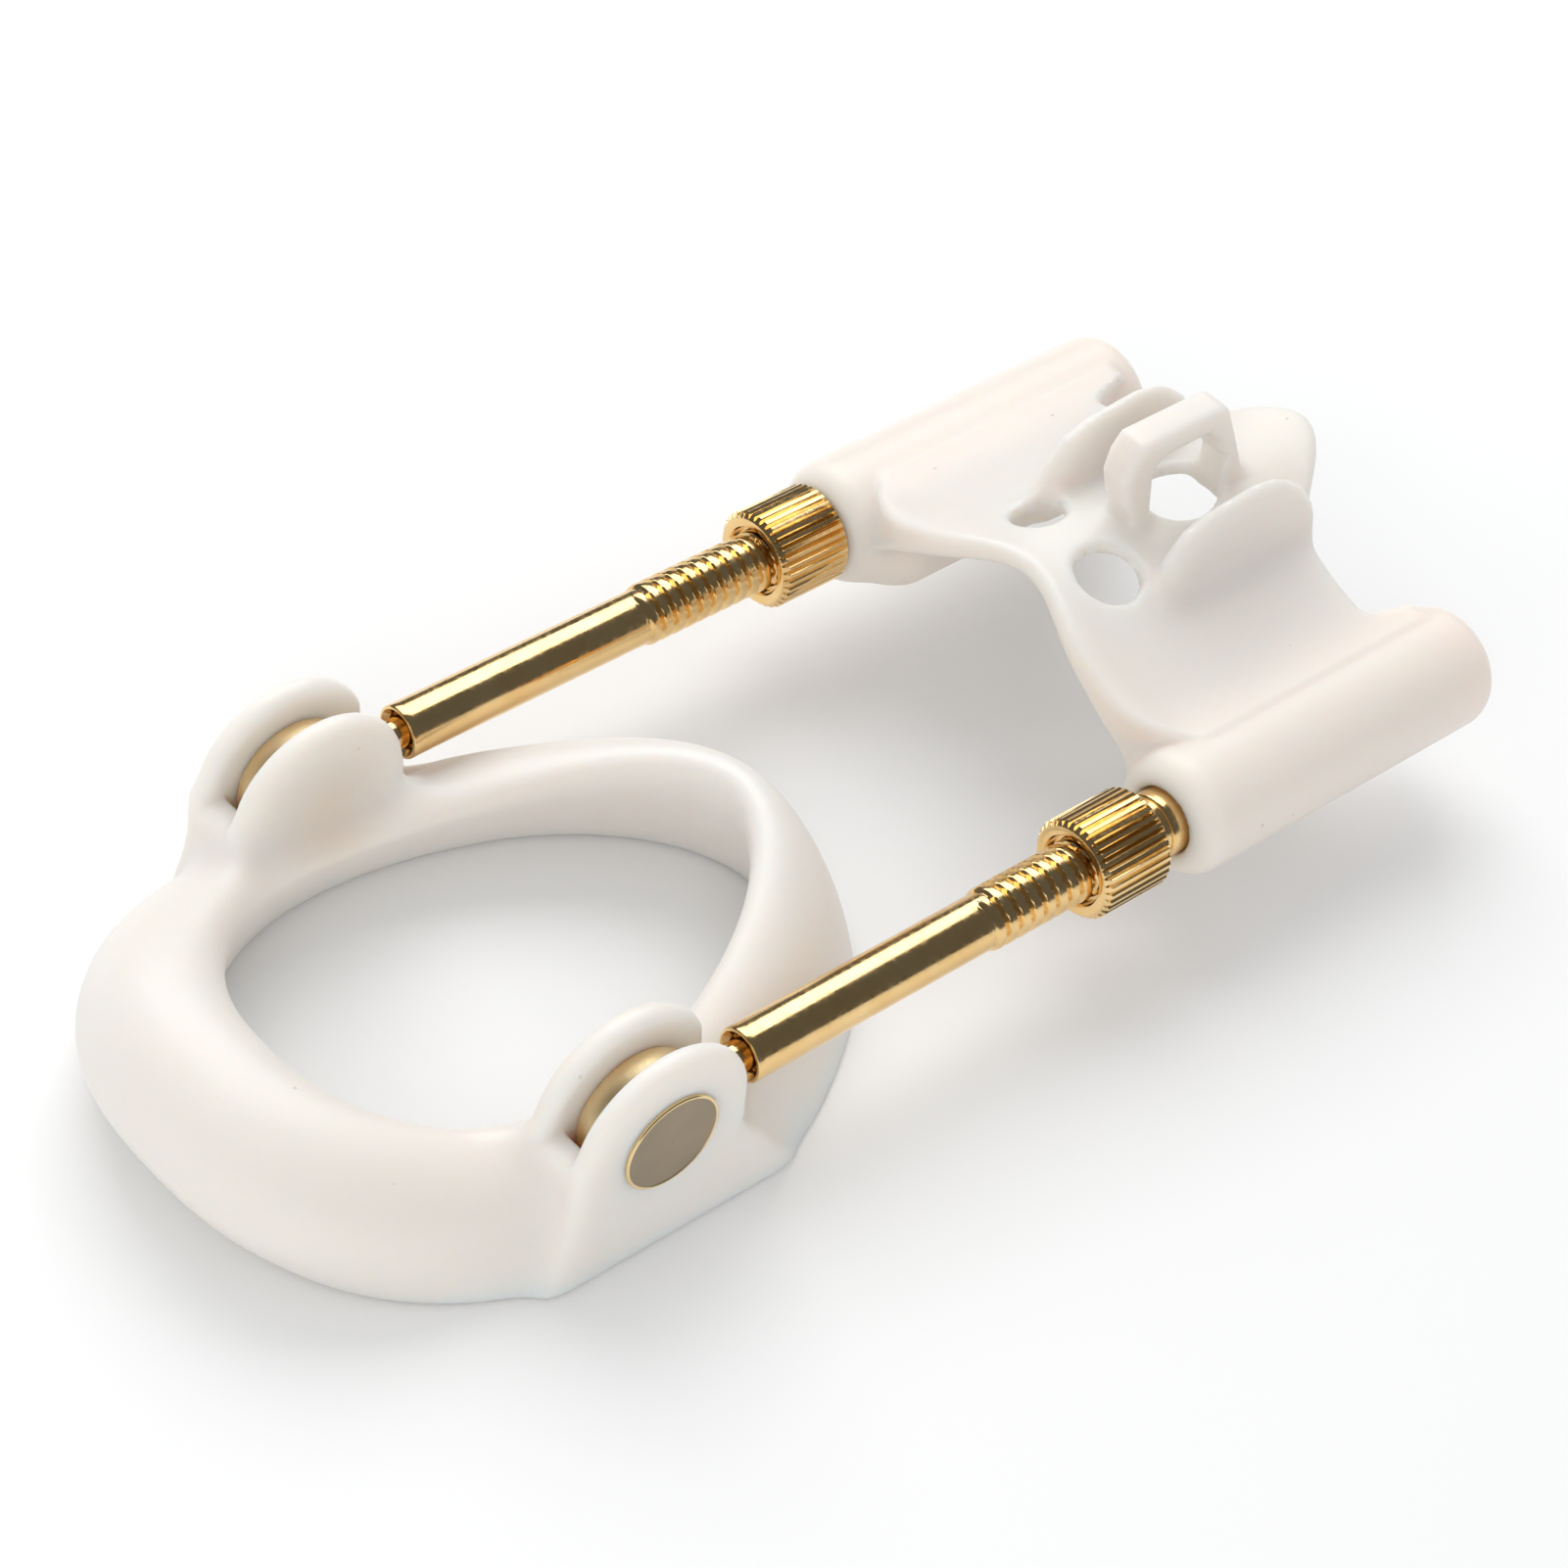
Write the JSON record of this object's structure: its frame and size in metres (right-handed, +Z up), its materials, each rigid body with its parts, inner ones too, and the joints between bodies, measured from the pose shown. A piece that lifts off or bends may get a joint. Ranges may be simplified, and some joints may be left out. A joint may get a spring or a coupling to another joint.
{
  "type": "adjustable rod traction frame",
  "caption": "Moulded base ring with two hinged, sprung, threaded rods and knurled nuts that carry a sliding strap cradle.",
  "frame": {"origin": "under the middle of the whole part, on the plane of the ring's flat base", "axes": "+X along the hinge axis towards the right rod, +Y along the rods from ring to cradle, +Z up from the base"},
  "size_m": [0.0692, 0.1564, 0.0409],
  "materials": {
    "moulded_ring": "satin",
    "moulded_cradle": "satin translucent",
    "gold_plate": "polished gold plate",
    "satin_gold": "satin",
    "pin_metal": "matte face, polished rim",
    "spring_steel": "bright drawn wire"
  },
  "bodies": {
    "ring": {"base_ring": "moulded_ring", "left_hinge_pin": "pin_metal", "right_hinge_pin": "pin_metal"},
    "left_arm": {"left_hinge_knuckle": "satin_gold", "left_guide_shaft": "gold_plate", "left_return_spring": "spring_steel"},
    "right_arm": {"right_hinge_knuckle": "satin_gold", "right_guide_shaft": "gold_plate", "right_return_spring": "spring_steel"},
    "left_tube": {"left_threaded_tube": "gold_plate", "left_guide_bush": "gold_plate", "left_end_plug": "gold_plate"},
    "right_tube": {"right_threaded_tube": "gold_plate", "right_guide_bush": "gold_plate", "right_end_plug": "gold_plate"},
    "left_collar": {"left_thrust_collar": "gold_plate"},
    "right_collar": {"right_thrust_collar": "gold_plate"},
    "left_nut": {"left_knurled_nut": "gold_plate"},
    "right_nut": {"right_knurled_nut": "gold_plate"},
    "cradle": {"cradle": "moulded_cradle"}
  },
  "joints": [
    {"name": "left_rod_fold", "type": "hinge", "parent": "ring", "child": "left_arm", "pos_m": [-0.0275, -0.0392, 0.0152], "axis": [1, 0, 0], "range_deg": [0, 120]},
    {"name": "right_rod_fold", "type": "hinge", "parent": "ring", "child": "right_arm", "pos_m": [0.0275, -0.0392, 0.0152], "axis": [1, 0, 0], "range_deg": [0, 120]},
    {"name": "left_plunger", "type": "slide", "parent": "left_arm", "child": "left_tube", "axis": [0, 1, 0], "range_m": [-0.002, 0], "stiffness_N_per_m": 900, "springref_m": 0.003, "deforming": ["left_return_spring"]},
    {"name": "right_plunger", "type": "slide", "parent": "right_arm", "child": "right_tube", "axis": [0, 1, 0], "range_m": [-0.002, 0], "stiffness_N_per_m": 900, "springref_m": 0.003, "deforming": ["right_return_spring"]},
    {"name": "left_nut_travel", "type": "slide", "parent": "left_tube", "child": "left_collar", "axis": [0, 1, 0], "range_m": [-0.016, 0]},
    {"name": "left_nut_turn", "type": "hinge", "parent": "left_collar", "child": "left_nut", "pos_m": [-0.0275, 0.03, 0.0152], "axis": [0, 1, 0], "range_deg": [-3292, 10]},
    {"name": "right_nut_travel", "type": "slide", "parent": "right_tube", "child": "right_collar", "axis": [0, 1, 0], "range_m": [-0.0125, 0.0035]},
    {"name": "right_nut_turn", "type": "hinge", "parent": "right_collar", "child": "right_nut", "pos_m": [0.0275, 0.0265, 0.0152], "axis": [0, 1, 0], "range_deg": [-2572, 721]},
    {"name": "cradle_slide", "type": "slide", "parent": "left_tube", "child": "cradle", "axis": [0, 1, 0], "range_m": [0, 0.012]}
  ],
  "couplings": [
    {"joint": "right_rod_fold", "follows": "left_rod_fold", "ratio": 1},
    {"joint": "right_plunger", "follows": "left_plunger", "ratio": 1},
    {"joint": "left_nut_turn", "follows": "left_nut_travel", "rad_per_m": 3590.4},
    {"joint": "right_nut_turn", "follows": "right_nut_travel", "rad_per_m": 3590.4}
  ]
}
